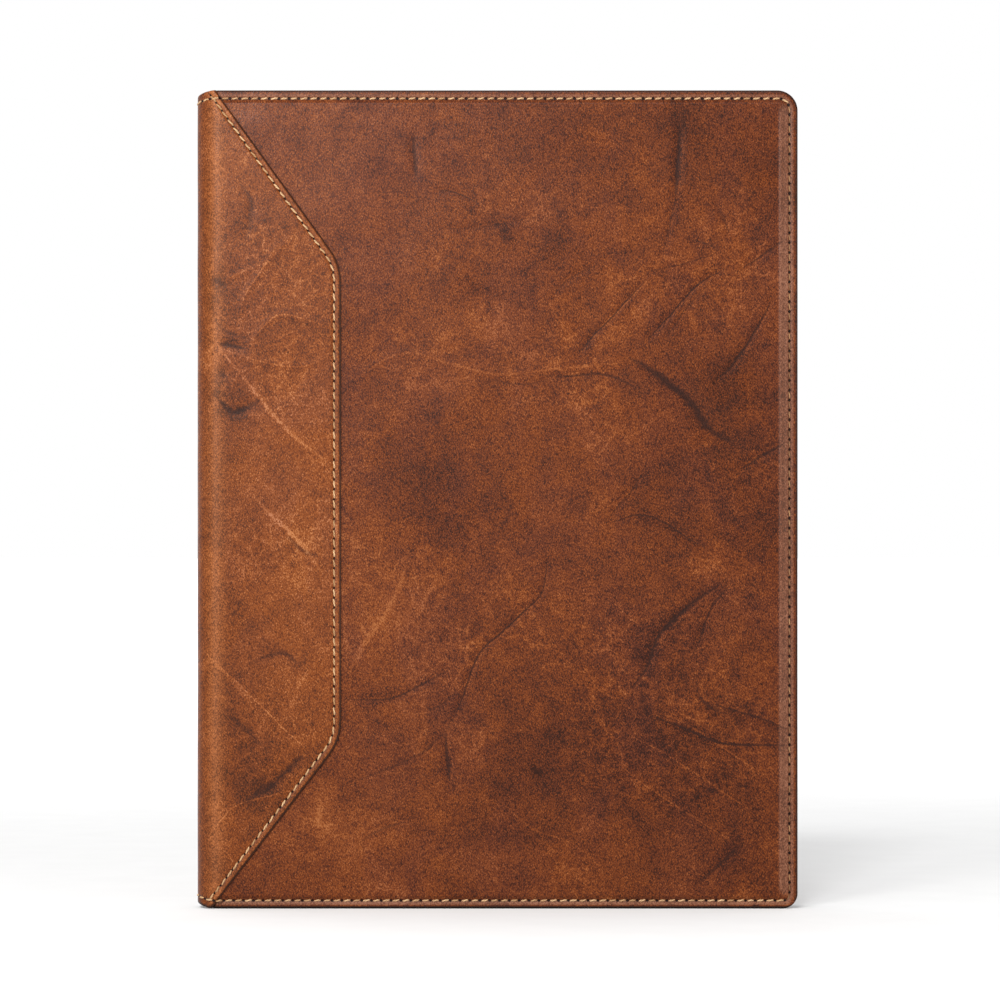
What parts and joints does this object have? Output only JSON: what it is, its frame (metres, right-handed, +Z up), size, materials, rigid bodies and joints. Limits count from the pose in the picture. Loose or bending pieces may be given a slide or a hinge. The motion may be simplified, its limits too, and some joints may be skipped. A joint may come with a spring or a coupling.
{
  "type": "leather notebook cover",
  "caption": "Leather notebook cover with a wrapped spine piece, stitched edges, inner pockets, pen loop and a writing pad.",
  "frame": {"origin": "under the middle of the closed cover, on the surface that it stands on", "axes": "+X from the spine to the free edge, +Y from the front cover to the back cover, +Z up along the spine"},
  "size_m": [0.2353, 0.0228, 0.32],
  "materials": {
    "leather_panel": "distressed pull-up leather, dark red-brown, semi-matt",
    "leather_spine": "distressed pull-up leather, orange tan, semi-matt",
    "leather_inside": "smooth brown leather, semi-matt",
    "board": "grey-brown bookbinding board",
    "lining": "dark brown suede-like lining",
    "thread": "waxed tan thread",
    "paper": "uncoated writing paper",
    "card": "grey-brown card",
    "binding_tape": "dark cloth binding tape"
  },
  "bodies": {
    "back": {"back_panel": "leather_panel", "back_board": "board", "back_lining": "lining", "spine_cover_back": "leather_spine", "back_edge_stitching": "thread", "spine_cover_back_stitching": "thread", "pad_sleeve": "leather_inside", "pad_sleeve_stitching": "thread", "pen_loop": "leather_inside"},
    "spine": {"spine_cover_middle": "leather_spine", "spine_stiffener": "board", "spine_lining": "lining", "spine_stitching_top": "thread", "spine_stitching_bottom": "thread"},
    "front": {"front_panel": "leather_panel", "front_board": "board", "front_lining": "lining", "spine_cover_front": "leather_spine", "front_edge_stitching": "thread", "spine_cover_front_stitching": "thread", "document_pocket": "leather_inside", "document_pocket_stitching": "thread", "card_pocket_1": "leather_inside", "card_pocket_2": "leather_inside", "card_pocket_3": "leather_inside", "card_pocket_stitching": "thread"},
    "pad": {"pad_card": "card", "pad_sheets": "paper", "pad_binding": "binding_tape"}
  },
  "joints": [
    {"name": "spine_fold", "type": "hinge", "parent": "back", "child": "spine", "pos_m": [-0.11514, 0.00864, 0.16], "axis": [0, 0, -1], "range_deg": [0, 90]},
    {"name": "front_fold", "type": "hinge", "parent": "spine", "child": "front", "pos_m": [-0.11514, -0.00864, 0.16], "axis": [0, 0, -1], "range_deg": [0, 90]},
    {"name": "pad_slide", "type": "slide", "parent": "back", "child": "pad", "axis": [0, 0, 1], "range_m": [0, 0.16]}
  ],
  "couplings": [
    {"joint": "front_fold", "follows": "spine_fold", "ratio": 1}
  ]
}
